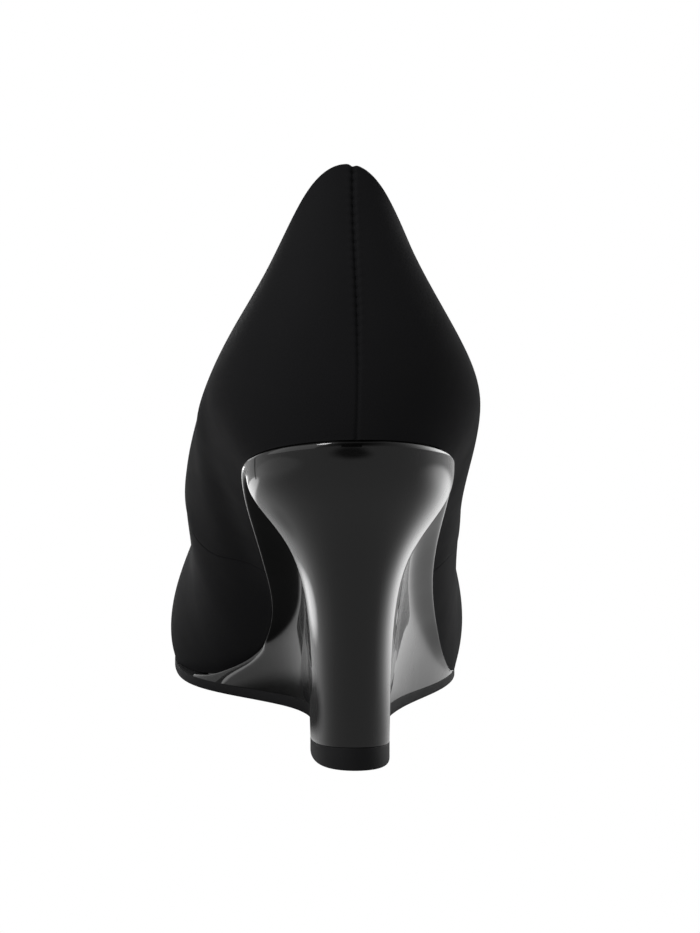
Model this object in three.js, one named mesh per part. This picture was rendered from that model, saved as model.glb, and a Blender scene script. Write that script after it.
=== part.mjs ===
// A woman's right wedge pump, standing empty on its sole.
// Millimetres, +Z up, toe towards +Y, the outer (little toe) side towards +X.
// The origin is the centre of the top piece's face on the floor, under the heel.
import * as THREE from "three";

// Driving sizes
const seatLength = 235; // back of the heel seat to the toe tip, along the floor
const ballWidth = 77; // across the featherline at the ball
const seatWidth = 49.6; // across the heel seat, at its widest
const heelHeight = 80.2; // back of the heel seat above the floor
const backHeight = 63.8; // back seam, from the seat to the top of the collar
const throatHeight = 49.5; // front of the collar above the floor
const toeSpring = 5; // toe tip above the floor, under the outsole
const upperWall = 1.7; // outer leather, backer and lining together
const insoleThickness = 2.2;
const outsoleThickness = 2.6; // under the ball
const waistThickness = 3.5; // the same outsole under the wedge
const outsoleEdge = 0.7; // its lower edge, rounded off
const archRise = 0.6; // the outsole's underside above the floor, between heel and ball
const topPieceBack = 5.6; // thickness of the top piece at its back
const columnWidth = 18.5; // wedge and top piece, across the foot of the heel
const topPieceLength = 32;
const columnSetForward = 9.4; // back of the top piece, ahead of the back of the seat
const wedgeReach = 147; // back of the seat to the wedge's thin front edge
const rimProud = 0.6; // the wedge's rim stands this far outside the upper's edge
const fitGap = 0.3; // between glued pieces

// Resolution of the solids: steps round one side, and steps up or down a wall
const halfRing = 46;
const wedgeHalfRing = 37;
const outsoleHalfRing = 56;
const topPieceHalfRing = 14;
const ribSteps = 13;
const wedgeSteps = 13;
const rimCrowding = 1.6; // above 1, the wedge's rows lie closer together near its rim
const differenceStep = 1e-3; // share of the way round, for directions
const settlingPasses = 40; // of relaxing or halving

// Rows of an outline's table that shape the heel
const heelRows = 3;

// Where the upper meets the sole. A row for each tenth of the way round from heel to toe.
// outer and inner: distance from the centre plane, as a share of ballWidth (of seatWidth in the first
// three rows, which shape the heel seat).
const featherline = [
  { outer: 0.0, inner: 0.0 },
  { outer: 0.31, inner: 0.32 },
  { outer: 0.484, inner: 0.502 },
  { outer: 0.338, inner: 0.318 },
  { outer: 0.331, inner: 0.226 },
  { outer: 0.404, inner: 0.206 },
  { outer: 0.508, inner: 0.415 },
  { outer: 0.51, inner: 0.475 },
  { outer: 0.37, inner: 0.403 },
  { outer: 0.182, inner: 0.227 },
  { outer: -0.026, inner: 0.026 },
];

// The same edge from the side. along: share of seatLength; rise: share of the seat's drop to the ball;
// spring: share of toeSpring.
const seatProfile = [
  { along: 0.0, rise: 1.0, spring: 0 },
  { along: 0.08, rise: 0.931, spring: 0 },
  { along: 0.16, rise: 0.848, spring: 0 },
  { along: 0.255, rise: 0.672, spring: 0 },
  { along: 0.36, rise: 0.45, spring: 0 },
  { along: 0.45, rise: 0.268, spring: 0 },
  { along: 0.54, rise: 0.09, spring: 0 },
  { along: 0.6, rise: 0.022, spring: 0 },
  { along: 0.66, rise: 0.003, spring: 0 },
  { along: 0.7, rise: 0.0, spring: 0 },
  { along: 0.8, rise: 0.0, spring: 0 },
  { along: 0.9, rise: 0.0, spring: 0.22 },
  { along: 1.0, rise: 0.0, spring: 1.0 },
];

// The collar. along: share of seatLength; outer and inner: shares of ballWidth; fall: share of the
// drop from the back of the collar to its throat.
const collar = [
  { along: 0.059, outer: -0.026, inner: 0.026, fall: 0.0 },
  { along: 0.07, outer: 0.088, inner: 0.142, fall: 0.062 },
  { along: 0.117, outer: 0.212, inner: 0.256, fall: 0.26 },
  { along: 0.207, outer: 0.341, inner: 0.372, fall: 0.46 },
  { along: 0.33, outer: 0.418, inner: 0.43, fall: 0.634 },
  { along: 0.48, outer: 0.428, inner: 0.41, fall: 0.765 },
  { along: 0.63, outer: 0.345, inner: 0.304, fall: 0.886 },
  { along: 0.688, outer: 0.27, inner: 0.222, fall: 0.95 },
  { along: 0.717, outer: 0.186, inner: 0.136, fall: 0.982 },
  { along: 0.7295, outer: 0.105, inner: 0.055, fall: 0.996 },
  { along: 0.7335, outer: 0.025, inner: -0.025, fall: 1.0 },
];

// How each rib of the last swells between those two edges, as shares of ballWidth: how far its wall
// sets out and up from the sole's edge, and how far it sets out and down from the collar.
const ribs = [
  { footOut: [0.112, 0.112], footUp: 0.325, headOut: [0.085, 0.085], headDown: 0.247 },
  { footOut: [0.125, 0.125], footUp: 0.31, headOut: [0.09, 0.09], headDown: 0.235 },
  { footOut: [0.165, 0.155], footUp: 0.27, headOut: [0.115, 0.115], headDown: 0.22 },
  { footOut: [0.15, 0.165], footUp: 0.22, headOut: [0.1, 0.12], headDown: 0.21 },
  { footOut: [0.125, 0.212], footUp: 0.195, headOut: [0.035, 0.085], headDown: 0.21 },
  { footOut: [0.06, 0.242], footUp: 0.21, headOut: [0.065, 0.14], headDown: 0.23 },
  { footOut: [0.052, 0.078], footUp: 0.2, headOut: [0.16, 0.16], headDown: 0.16 },
  { footOut: [0.112, 0.065], footUp: 0.175, headOut: [0.24, 0.24], headDown: 0.12 },
  { footOut: [0.034, 0.036], footUp: 0.235, headOut: [0.32, 0.32], headDown: 0.12 },
  { footOut: [0.032, 0.032], footUp: 0.215, headOut: [0.38, 0.38], headDown: 0.135 },
  { footOut: [0.032, 0.032], footUp: 0.205, headOut: [0.41, 0.41], headDown: 0.15 },
];

// Outline of the sole's underside from the foot of the heel to the toe, a row for each tenth.
// along: share of seatLength ahead of the column's back; outer and inner: shares of columnWidth in
// the first three rows and of ballWidth after them.
const underside = [
  { along: 0.0, outer: 0.0, inner: 0.0 },
  { along: 0.016, outer: 0.335, inner: 0.335 },
  { along: 0.064, outer: 0.494, inner: 0.494 },
  { along: 0.147, outer: 0.132, inner: 0.112 },
  { along: 0.264, outer: 0.158, inner: 0.078 },
  { along: 0.412, outer: 0.28, inner: 0.135 },
  { along: 0.558, outer: 0.464, inner: 0.4 },
  { along: 0.704, outer: 0.518, inner: 0.48 },
  { along: 0.838, outer: 0.408, inner: 0.432 },
  { along: 0.934, outer: 0.2, inner: 0.238 },
  { along: 0.962, outer: -0.026, inner: 0.026 },
];

// The sole's underside from the side. along: share of wedgeReach; rise: share of archRise above the
// floor.
const archProfile = [
  { along: 0.0, rise: 0.0 },
  { along: 0.285, rise: 0.0 },
  { along: 0.36, rise: 0.45 },
  { along: 0.47, rise: 0.95 },
  { along: 0.57, rise: 0.9 },
  { along: 0.68, rise: 0.55 },
  { along: 0.79, rise: 0.2 },
  { along: 0.9, rise: 0.0 },
  { along: 1.0, rise: 0.0 },
];

// Where the sole changes. The first is a share of seatLength, the others are of wedgeReach.
const springStarts = 0.7;
const thinningStarts = 0.55;
const thinningEnds = 0.9;

// The coves of the wedge's wall. depth: share of the wall's height, below the rim, where it is half way
// in; sharpness: how fast it turns there. The column's is a little deeper on its outer side. The side
// walls ahead of the column turn tightly under the rim, mixed with a straight line down.
const outerDepth = 0.272;
const innerDepth = 0.252;
const columnSharpness = 2.95;
const sideDepth = 0.05;
const sideSharpness = 2;
const sideStraight = 0.45; // share of the straight line in the mix
const sideWallStarts = 0.105; // share of the way round from the back of the heel
const sideWallFull = 0.15;
const roundedBack = 0.4; // sine of the turn to each side over which the two depths blend

const up = new THREE.Vector3(0, 0, 1);

// A smooth closed curve through equally spaced values: cubic pieces whose slopes at the knots come
// from relaxing the spline's own equations.
function closedSpline(values) {
  const count = values.length;
  const at = (list, i) => list[(i + count) % count];
  let slopes = values.map((_, i) => (at(values, i + 1) - at(values, i - 1)) / 2);
  for (let pass = 0; pass < settlingPasses; pass++)
    slopes = slopes.map(
      (_, i) => (3 * (at(values, i + 1) - at(values, i - 1)) - at(slopes, i - 1) - at(slopes, i + 1)) / 4,
    );
  return (share) => {
    const place = (((share % 1) + 1) % 1) * count;
    const i = Math.floor(place) % count;
    const u = place - Math.floor(place);
    const [a, b, da, db] = [values[i], at(values, i + 1), slopes[i], at(slopes, i + 1)];
    return a + u * (da + u * (3 * (b - a) - 2 * da - db + u * (2 * (a - b) + da + db)));
  };
}

// A column of a table taken round the shoe: out along the outer side to the toe, back along the inner.
function roundTheShoe(rows, outer, inner = outer) {
  const there = rows.map(outer);
  const back = rows.slice(1, -1).reverse().map(inner);
  return closedSpline([...there, ...back]);
}

// A rising or falling curve through a table's rows that never overshoots them.
function profile(rows, length, height) {
  const xs = rows.map((row) => row.along * length);
  const ys = rows.map(height);
  const chords = xs.slice(1).map((x, i) => (ys[i + 1] - ys[i]) / (x - xs[i]));
  const slopes = xs.map((_, i) => {
    if (i === 0) return chords[0];
    if (i === xs.length - 1) return chords[i - 1];
    const [a, b] = [chords[i - 1], chords[i]];
    return a * b <= 0 ? 0 : (2 * a * b) / (a + b);
  });
  return (x) => {
    let i = 0;
    while (i < xs.length - 2 && x > xs[i + 1]) i++;
    const width = xs[i + 1] - xs[i];
    const u = THREE.MathUtils.clamp((x - xs[i]) / width, 0, 1);
    const [a, b, da, db] = [ys[i], ys[i + 1], slopes[i] * width, slopes[i + 1] * width];
    return a + u * (da + u * (3 * (b - a) - 2 * da - db + u * (2 * (a - b) + da + db)));
  };
}

// Heights, as functions of the distance along from the back of the seat.
const ballLevel = outsoleThickness + fitGap;
const seatHeight = profile(
  seatProfile,
  seatLength,
  (row) => ballLevel + row.rise * (heelHeight - ballLevel) + row.spring * toeSpring,
);
const wedgeTopHeight = (along) => seatHeight(along) - fitGap;
const archCurve = profile(archProfile, wedgeReach, (row) => row.rise * archRise);
function soleBottomHeight(along) {
  return along < springStarts * seatLength ? archCurve(along) : seatHeight(along) - ballLevel;
}
function soleTopHeight(along) {
  const pastHeel = THREE.MathUtils.clamp((along - columnSetForward) / topPieceLength, 0, 1);
  const heel = THREE.MathUtils.lerp(topPieceBack, waistThickness, pastHeel);
  const [start, end] = [thinningStarts * wedgeReach, thinningEnds * wedgeReach];
  const pastWaist = THREE.MathUtils.smoothstep(along, start, end);
  return soleBottomHeight(along) + THREE.MathUtils.lerp(heel, outsoleThickness, pastWaist);
}
const wedgeUndersideHeight = (along) => soleTopHeight(along) + fitGap;

// Edges of the last in plan and in height. share runs 0 to 1 round the shoe from the back of the heel.
function sides(rows, heelWidth = ballWidth) {
  const width = (row) => (rows.indexOf(row) < heelRows ? heelWidth : ballWidth);
  return roundTheShoe(
    rows,
    (row) => row.outer * width(row),
    (row) => -row.inner * width(row),
  );
}
const seatAcross = sides(featherline, seatWidth);
const seatAlong = (share) => (seatLength * (1 - Math.cos(2 * Math.PI * share))) / 2;
const collarAcross = sides(collar);
const collarAlong = roundTheShoe(collar, (row) => row.along * seatLength);
const collarTop = heelHeight + backHeight;
const collarHeight = roundTheShoe(collar, (row) => collarTop - row.fall * (collarTop - throatHeight));
const undersideAcross = sides(underside, columnWidth);
const undersideAlong = roundTheShoe(underside, (row) => columnSetForward + row.along * seatLength);

const featherPoint = (share) => {
  const along = seatAlong(share);
  return new THREE.Vector3(seatAcross(share), along, seatHeight(along));
};
const collarPoint = (share) =>
  new THREE.Vector3(collarAcross(share), collarAlong(share), collarHeight(share));
const undersidePoint = (share) => new THREE.Vector3(undersideAcross(share), undersideAlong(share), 0);

// The horizontal direction that points away from the shoe, square to an edge seen from above.
function outward(edge, share) {
  const ahead = edge(share + differenceStep).sub(edge(share - differenceStep));
  return new THREE.Vector3(-ahead.y, ahead.x, 0).normalize().negate();
}

// The upper's outer surface: a rib from the featherline to the collar at each place round the shoe.
const swell = {
  footOut: roundTheShoe(ribs, (row) => row.footOut[0] * ballWidth, (row) => row.footOut[1] * ballWidth),
  footUp: roundTheShoe(ribs, (row) => row.footUp * ballWidth),
  headOut: roundTheShoe(ribs, (row) => row.headOut[0] * ballWidth, (row) => row.headOut[1] * ballWidth),
  headDown: roundTheShoe(ribs, (row) => row.headDown * ballWidth),
};
function rib(share) {
  const foot = featherPoint(share);
  const head = collarPoint(share);
  const lower = foot
    .clone()
    .addScaledVector(outward(featherPoint, share), swell.footOut(share))
    .addScaledVector(up, swell.footUp(share));
  const upper = head
    .clone()
    .addScaledVector(outward(collarPoint, share), swell.headOut(share))
    .addScaledVector(up, -swell.headDown(share));
  return new THREE.CubicBezierCurve3(foot, lower, upper, head);
}

// The direction out of that surface, level at the featherline so that the wall stands flat on the sole.
function wallDirection(share, height) {
  if (height === 0) return outward(featherPoint, share);
  const [before, after] = [rib(share - differenceStep), rib(share + differenceStep)];
  const round = after.getPoint(height).sub(before.getPoint(height));
  return new THREE.Vector3().crossVectors(round, rib(share).getTangent(height)).normalize();
}

// A closed solid from rings of points, all with the same count. Ends are closed by strips from side
// to side, unless the last ring joins the first.
function solidOfRings(rings, { endless = false } = {}) {
  const count = rings[0].length;
  const triangles = [];
  const face = (a, b, c) => {
    if (a !== b && b !== c && c !== a) triangles.push(a, b, c);
  };
  const levels = endless ? rings.length : rings.length - 1;
  for (let level = 0; level < levels; level++) {
    const low = level * count;
    const high = ((level + 1) % rings.length) * count;
    for (let i = 0; i < count; i++) {
      const next = (i + 1) % count;
      face(low + i, low + next, high + next);
      face(low + i, high + next, high + i);
    }
  }
  if (!endless) {
    const top = (rings.length - 1) * count;
    for (let i = 0; i + 1 <= count - i - 1; i++) {
      const [a, b, c, d] = [i, i + 1, count - i - 1, (count - i) % count];
      face(a, c, b);
      face(a, d, c);
      face(top + a, top + b, top + c);
      face(top + a, top + c, top + d);
    }
  }
  const points = rings.flat();
  const corner = (i) => points[triangles[i]];
  let volume = 0;
  for (let i = 0; i < triangles.length; i += 3)
    volume += corner(i).dot(new THREE.Vector3().crossVectors(corner(i + 1), corner(i + 2)));
  if (volume < 0) triangles.reverse();
  const geometry = new THREE.BufferGeometry().setFromPoints(points);
  geometry.setIndex(triangles);
  geometry.computeVertexNormals();
  return geometry;
}

const range = (count) => Array.from({ length: count }, (_, i) => i);

// Shares of the way round for a whole ring.
const wholeRing = range(2 * halfRing).map((i) => i / (2 * halfRing));

// Shares for a ring that stops short on both sides: it starts at one end of the shoe and is closed
// straight across at the other.
function partRing(start, stop, steps) {
  const outer = range(steps + 1).map((i) => start + ((stop - start) * i) / steps);
  const inner = outer.slice(1).reverse().map((share) => 1 - share);
  return [...outer, ...inner];
}

// The share, on the outer side, at which an edge reaches a distance along.
function shareAt(alongOf, along) {
  let [low, high] = [0, 0.5];
  for (let pass = 0; pass < settlingPasses; pass++) {
    const middle = (low + high) / 2;
    if (alongOf(middle) < along) low = middle;
    else high = middle;
  }
  return (low + high) / 2;
}

function upperGeometry() {
  const heights = range(ribSteps + 1).map((i) => i / ribSteps);
  const outerWall = heights.map((height) => wholeRing.map((share) => rib(share).getPoint(height)));
  const innerWall = heights.map((height, level) =>
    wholeRing.map((share, i) => {
      const p = outerWall[level][i].clone().addScaledVector(wallDirection(share, height), -upperWall);
      return height === 0 ? p.setZ(seatHeight(p.y)) : p;
    }),
  );
  return solidOfRings([...outerWall, ...innerWall.reverse()], { endless: true });
}

function insoleGeometry() {
  const inset = upperWall + fitGap;
  const edge = wholeRing.map((share) =>
    featherPoint(share).addScaledVector(outward(featherPoint, share), -inset),
  );
  const layer = (lift) => edge.map((p) => new THREE.Vector3(p.x, p.y, seatHeight(p.y) + lift));
  return solidOfRings([layer(0), layer(insoleThickness)]);
}

// How far out a cove is at a share down, from 1 at the rim to 0 at the foot.
function coveReach(depth, sharpness, down) {
  const reach = (at) => 1 / (1 + (at / depth) ** sharpness);
  return (reach(down) - reach(1)) / (1 - reach(1));
}

// How far out the wedge's wall is at a share down, at a place round the shoe.
function wallReach(share, down) {
  const outer = THREE.MathUtils.smoothstep(Math.sin(2 * Math.PI * share), -roundedBack, roundedBack);
  const column = coveReach(THREE.MathUtils.lerp(innerDepth, outerDepth, outer), columnSharpness, down);
  const tight = coveReach(sideDepth, sideSharpness, down);
  const side = THREE.MathUtils.lerp(tight, 1 - down, sideStraight);
  const sideways = THREE.MathUtils.smoothstep(Math.min(share, 1 - share), sideWallStarts, sideWallFull);
  return THREE.MathUtils.lerp(column, side, sideways);
}

function wedgeGeometry() {
  const rimShares = partRing(0, shareAt(seatAlong, wedgeReach), wedgeHalfRing);
  const footShares = partRing(0, shareAt(undersideAlong, wedgeReach), wedgeHalfRing);
  const rim = rimShares.map((share) => {
    const p = featherPoint(share).addScaledVector(outward(featherPoint, share), rimProud);
    return p.setZ(wedgeTopHeight(p.y));
  });
  const foot = footShares.map((share) => {
    const p = undersidePoint(share);
    return p.setZ(wedgeUndersideHeight(p.y));
  });
  const rings = range(wedgeSteps + 1).map((step) => {
    const down = (step / wedgeSteps) ** rimCrowding;
    return rim.map((top, i) => {
      const p = foot[i].clone().lerp(top, wallReach(rimShares[i], down));
      return p.setZ(THREE.MathUtils.lerp(top.z, foot[i].z, down));
    });
  });
  return solidOfRings(rings);
}

function topPieceGeometry() {
  const stop = shareAt(undersideAlong, columnSetForward + topPieceLength);
  const outline = partRing(0, stop, topPieceHalfRing).map(undersidePoint);
  const face = outline.map((p) => p.clone().setZ(0));
  const seat = outline.map((p) => p.clone().setZ(soleTopHeight(p.y)));
  return solidOfRings([face, seat]);
}

function outsoleGeometry() {
  const heelEnd = shareAt(undersideAlong, columnSetForward + topPieceLength + fitGap);
  const shares = partRing(0.5, heelEnd, outsoleHalfRing);
  const layer = (inset, height) =>
    shares.map((share) => {
      const p = undersidePoint(share).addScaledVector(outward(undersidePoint, share), -inset);
      return p.setZ(height(p.y));
    });
  return solidOfRings([
    layer(outsoleEdge, soleBottomHeight),
    layer(0, (along) => soleBottomHeight(along) + outsoleEdge),
    layer(0, soleTopHeight),
  ]);
}

// Finishes
const finish = (color, roughness) => new THREE.MeshStandardMaterial({ color, roughness, metalness: 0 });
const blackLeather = finish(0x151516, 0.55);
const blackPatent = finish(0x0c0c0d, 0.08);
const blackRubber = finish(0x1b1b1c, 0.6);
const blackTopPiece = finish(0x1d1d1e, 0.5);
const charcoalLining = finish(0x2b2928, 0.8);

const shoe = new THREE.Group();
function place(name, geometry, material) {
  const mesh = new THREE.Mesh(geometry, material);
  mesh.name = name;
  shoe.add(mesh);
}
place("upper", upperGeometry(), blackLeather);
place("insole", insoleGeometry(), charcoalLining);
place("wedge", wedgeGeometry(), blackPatent);
place("outsole", outsoleGeometry(), blackRubber);
place("top_piece", topPieceGeometry(), blackTopPiece);
shoe.position.y = -(columnSetForward + topPieceLength / 2);

export default shoe;
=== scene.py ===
"""A woman's right wedge pump: black leather upper on an hourglass wedge covered in black patent.

Lengths are in millimetres until a mesh is written, which is in metres. The toe points along +Y and the
outer, little toe side lies towards +X. A distance along runs forward from the back of the heel seat. A
share runs from 0 to 1 round the shoe: back of the heel, outer side, toe at a half, inner side. A height
runs from 0 at the sole's edge to 1 at the collar.
"""

import logging
import math
from dataclasses import dataclass
from enum import Enum
from typing import Callable

import bpy
import numpy as np
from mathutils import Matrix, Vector


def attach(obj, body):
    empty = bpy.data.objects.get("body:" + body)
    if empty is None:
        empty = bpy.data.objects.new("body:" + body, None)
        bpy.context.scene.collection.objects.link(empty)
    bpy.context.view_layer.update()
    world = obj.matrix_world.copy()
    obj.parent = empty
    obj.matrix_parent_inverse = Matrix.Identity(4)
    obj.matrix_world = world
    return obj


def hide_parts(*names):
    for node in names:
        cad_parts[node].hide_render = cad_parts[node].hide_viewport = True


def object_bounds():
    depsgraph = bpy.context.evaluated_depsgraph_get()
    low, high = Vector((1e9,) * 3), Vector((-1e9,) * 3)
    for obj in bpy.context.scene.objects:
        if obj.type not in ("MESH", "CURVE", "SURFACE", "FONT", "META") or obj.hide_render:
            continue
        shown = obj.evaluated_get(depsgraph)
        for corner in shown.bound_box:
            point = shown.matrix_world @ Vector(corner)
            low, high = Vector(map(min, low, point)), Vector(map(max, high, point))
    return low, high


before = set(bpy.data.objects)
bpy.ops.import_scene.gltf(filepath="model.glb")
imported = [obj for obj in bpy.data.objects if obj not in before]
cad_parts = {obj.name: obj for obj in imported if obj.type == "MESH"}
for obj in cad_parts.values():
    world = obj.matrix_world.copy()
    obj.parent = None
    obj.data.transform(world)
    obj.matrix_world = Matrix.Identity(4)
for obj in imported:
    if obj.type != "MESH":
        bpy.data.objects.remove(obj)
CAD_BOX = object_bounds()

MM = 0.001
UP = np.array([0.0, 0.0, 1.0])
DIFFERENCE_STEP = 1e-3
HALVINGS = 40
# angles in degrees above which an edge is sharp
LEATHER_CREASE = 50.0
MOULDED_CREASE = 60.0
# numbers of the colour inputs and the colour output of a mix node, whose names are shared
COLOUR_A, COLOUR_B, COLOUR_OUT = 6, 7, 2
FELT_BLACK = "#050505"
PURE_WHITE = "#ffffff"
LOG = logging.getLogger("wedge_pump")

Array = np.ndarray
Curve = Callable[[Array], Array]
Object = bpy.types.Object
Socket = bpy.types.NodeSocket
Tree = bpy.types.NodeTree


def closed_spline(values: Array) -> Curve:
    """Makes a smooth periodic curve through equally spaced values.

    Each gap holds one cubic, and the slopes m at the knots solve m[i-1] + 4 m[i] + m[i+1] =
    3 (v[i+1] - v[i-1]), which makes the second derivative continuous.

    Args:
        values: The value at each knot, the knots being equally spaced over shares 0 to 1.

    Returns:
        A function from an array of shares to an array of values.
    """
    count = len(values)
    unit = np.eye(count)
    system = 4 * unit + np.roll(unit, 1, axis=0) + np.roll(unit, -1, axis=0)
    slopes = np.linalg.solve(system, 3 * (np.roll(values, -1) - np.roll(values, 1)))

    def curve(share: Array) -> Array:
        """Evaluates the spline.

        Args:
            share: The shares.

        Returns:
            The values there.
        """
        place = np.mod(share, 1.0) * count
        i = np.floor(place).astype(int) % count
        u = place - np.floor(place)
        return hermite(u, values[i], values[(i + 1) % count], slopes[i], slopes[(i + 1) % count])

    return curve


def hermite(u: Array, a: Array, b: Array, da: Array, db: Array) -> Array:
    """Evaluates the cubic that goes from a to b with slopes da and db as u goes from 0 to 1."""
    return a + u * (da + u * (3 * (b - a) - 2 * da - db + u * (2 * (a - b) + da + db)))


def level_curve(xs: Array, ys: Array) -> Curve:
    """Makes a curve through points that never overshoots them.

    Each gap holds one cubic. The slope at a point is the harmonic mean of the chords on its two sides,
    and 0 where they turn.

    Args:
        xs: Rising places of the points.
        ys: Their values.

    Returns:
        A function from an array of places to an array of values, held level beyond both ends.
    """
    chords = np.diff(ys) / np.diff(xs)
    before, after = chords[:-1], chords[1:]
    turning = before * after <= 0
    total = np.where(turning, 1.0, before + after)
    inner = np.where(turning, 0.0, 2 * before * after / total)
    slopes = np.concatenate([chords[:1], inner, chords[-1:]])

    def curve(x: Array) -> Array:
        """Evaluates the curve.

        Args:
            x: The places.

        Returns:
            The values there.
        """
        i = np.clip(np.searchsorted(xs, x) - 1, 0, len(xs) - 2)
        width = xs[i + 1] - xs[i]
        u = np.clip((x - xs[i]) / width, 0, 1)
        return hermite(u, ys[i], ys[i + 1], slopes[i] * width, slopes[i + 1] * width)

    return curve


def smooth_step(x: Array, start: float, stop: float | Array) -> Array:
    """Rises from 0 at start to 1 at stop with level ends: 3 u^2 - 2 u^3 of the way between."""
    u = np.clip((x - start) / (stop - start), 0, 1)
    return u * u * (3 - 2 * u)


def bell(x: Array, width: float) -> Array:
    """Falls from 1 at x = 0 as exp(-(x / width)^2)."""
    return np.exp(-((x / width) ** 2))


def unit_vectors(vectors: Array) -> Array:
    """Scales vectors to length 1."""
    return vectors / np.linalg.norm(vectors, axis=-1, keepdims=True)


def spread(count: int, evenness: float) -> Array:
    """Places from 0 to 1 that crowd towards both ends: an even spacing mixed with half a cosine wave."""
    u = np.linspace(0, 1, count)
    return evenness * u + (1 - evenness) * (1 - np.cos(np.pi * u)) / 2


class RingStart(Enum):
    """Which end of the shoe a part ring starts from, as a share."""

    HEEL = 0.0
    TOE = 0.5


@dataclass
class Last:
    """The last that the shoe is built on, and the edges of its sole.

    The tables hold shares of the sizes. Their rows stand a tenth of the way apart from heel to toe.
    """

    seat_length: float = 235.0
    ball_width: float = 77.0
    seat_width: float = 49.6
    heel_height: float = 80.2
    back_height: float = 63.8
    throat_height: float = 49.5
    toe_spring: float = 5.0
    outsole_thickness: float = 2.6
    waist_thickness: float = 3.5
    arch_rise: float = 0.6
    top_piece_back: float = 5.6
    column_width: float = 18.5
    top_piece_length: float = 32.0
    column_set_forward: float = 9.4
    wedge_reach: float = 147.0
    glue_gap: float = 0.3
    wall: float = 1.7  # leather and lining together
    heel_rows: int = 3
    # outer and inner: out from the centre plane, of the seat width in the heel's rows, else of the ball's
    featherline: tuple = (
        (0.0, 0.0), (0.31, 0.32), (0.484, 0.502), (0.338, 0.318), (0.331, 0.226), (0.404, 0.206),
        (0.508, 0.415), (0.51, 0.475), (0.37, 0.403), (0.182, 0.227), (-0.026, 0.026),
    )
    # along, of the seat's length; rise, of the drop from the heel seat to the ball; share of the toe spring
    seat_profile: tuple = (
        (0.0, 1.0, 0.0), (0.08, 0.931, 0.0), (0.16, 0.848, 0.0), (0.255, 0.672, 0.0), (0.36, 0.45, 0.0),
        (0.45, 0.268, 0.0), (0.54, 0.09, 0.0), (0.6, 0.022, 0.0), (0.66, 0.003, 0.0), (0.7, 0.0, 0.0),
        (0.8, 0.0, 0.0), (0.9, 0.0, 0.22), (1.0, 0.0, 1.0),
    )
    # along, of the seat's length; outer and inner, of the ball's width; fall, of the drop to the throat
    collar: tuple = (
        (0.059, -0.026, 0.026, 0.0), (0.07, 0.088, 0.142, 0.062), (0.117, 0.212, 0.256, 0.26),
        (0.207, 0.341, 0.372, 0.46), (0.33, 0.418, 0.43, 0.634), (0.48, 0.428, 0.41, 0.765),
        (0.63, 0.345, 0.304, 0.886), (0.688, 0.27, 0.222, 0.95), (0.717, 0.186, 0.136, 0.982),
        (0.7295, 0.105, 0.055, 0.996), (0.7335, 0.025, -0.025, 1.0),
    )
    # of the ball's width: how far the wall sets out from the sole's edge, outer and inner, and up; how far
    # it sets out from the collar, outer and inner, and down
    ribs: tuple = (
        (0.112, 0.112, 0.325, 0.085, 0.085, 0.247), (0.125, 0.125, 0.31, 0.09, 0.09, 0.235),
        (0.165, 0.155, 0.27, 0.115, 0.115, 0.22), (0.15, 0.165, 0.22, 0.1, 0.12, 0.21),
        (0.125, 0.212, 0.195, 0.035, 0.085, 0.21), (0.06, 0.242, 0.21, 0.065, 0.14, 0.23),
        (0.052, 0.078, 0.2, 0.16, 0.16, 0.16), (0.112, 0.065, 0.175, 0.24, 0.24, 0.12),
        (0.034, 0.036, 0.235, 0.32, 0.32, 0.12), (0.032, 0.032, 0.215, 0.38, 0.38, 0.135),
        (0.032, 0.032, 0.205, 0.41, 0.41, 0.15),
    )
    # along, of the seat's length from the column's back; outer and inner, as in the featherline but of the
    # column's width in the heel's rows
    underside: tuple = (
        (0.0, 0.0, 0.0), (0.016, 0.335, 0.335), (0.064, 0.494, 0.494), (0.147, 0.132, 0.112),
        (0.264, 0.158, 0.078), (0.412, 0.28, 0.135), (0.558, 0.464, 0.4), (0.704, 0.518, 0.48),
        (0.838, 0.408, 0.432), (0.934, 0.2, 0.238), (0.962, -0.026, 0.026),
    )
    # along, of the wedge's reach; rise, of the arch's rise above the floor
    arch_profile: tuple = (
        (0.0, 0.0), (0.285, 0.0), (0.36, 0.45), (0.47, 0.95), (0.57, 0.9), (0.68, 0.55), (0.79, 0.2),
        (0.9, 0.0), (1.0, 0.0),
    )
    toe_spring_starts: float = 0.7
    thinning_starts: float = 0.55
    thinning_ends: float = 0.9
    levelled_height: float = 0.08  # below it the wall's direction out is turned level

    def __post_init__(self) -> None:
        """Turns the tables into curves."""
        self.ball_level = self.outsole_thickness + self.glue_gap
        self.collar_top = self.heel_height + self.back_height
        self.centre_along = self.column_set_forward + self.top_piece_length / 2
        seat = np.array(self.seat_profile)
        drop = self.heel_height - self.ball_level
        level = self.ball_level + seat[:, 1] * drop + seat[:, 2] * self.toe_spring
        self.seat_height = level_curve(seat[:, 0] * self.seat_length, level)
        arch = np.array(self.arch_profile)
        self.arch_height = level_curve(arch[:, 0] * self.wedge_reach, arch[:, 1] * self.arch_rise)
        edge, collar, tread = np.array(self.featherline), np.array(self.collar), np.array(self.underside)
        self.seat_across = self.across(edge, self.seat_width)
        self.collar_across = self.across(collar[:, 1:3], self.ball_width)
        self.tread_across = self.across(tread[:, 1:3], self.column_width)
        self.collar_along = self.round_the_shoe(collar[:, 0] * self.seat_length)
        self.collar_height = self.round_the_shoe(
            self.collar_top - collar[:, 3] * (self.collar_top - self.throat_height)
        )
        self.tread_along = self.round_the_shoe(self.column_set_forward + tread[:, 0] * self.seat_length)
        ribs = np.array(self.ribs) * self.ball_width
        self.foot_out = self.round_the_shoe(ribs[:, 0], ribs[:, 1])
        self.foot_up = self.round_the_shoe(ribs[:, 2])
        self.head_out = self.round_the_shoe(ribs[:, 3], ribs[:, 4])
        self.head_down = self.round_the_shoe(ribs[:, 5])

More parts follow.
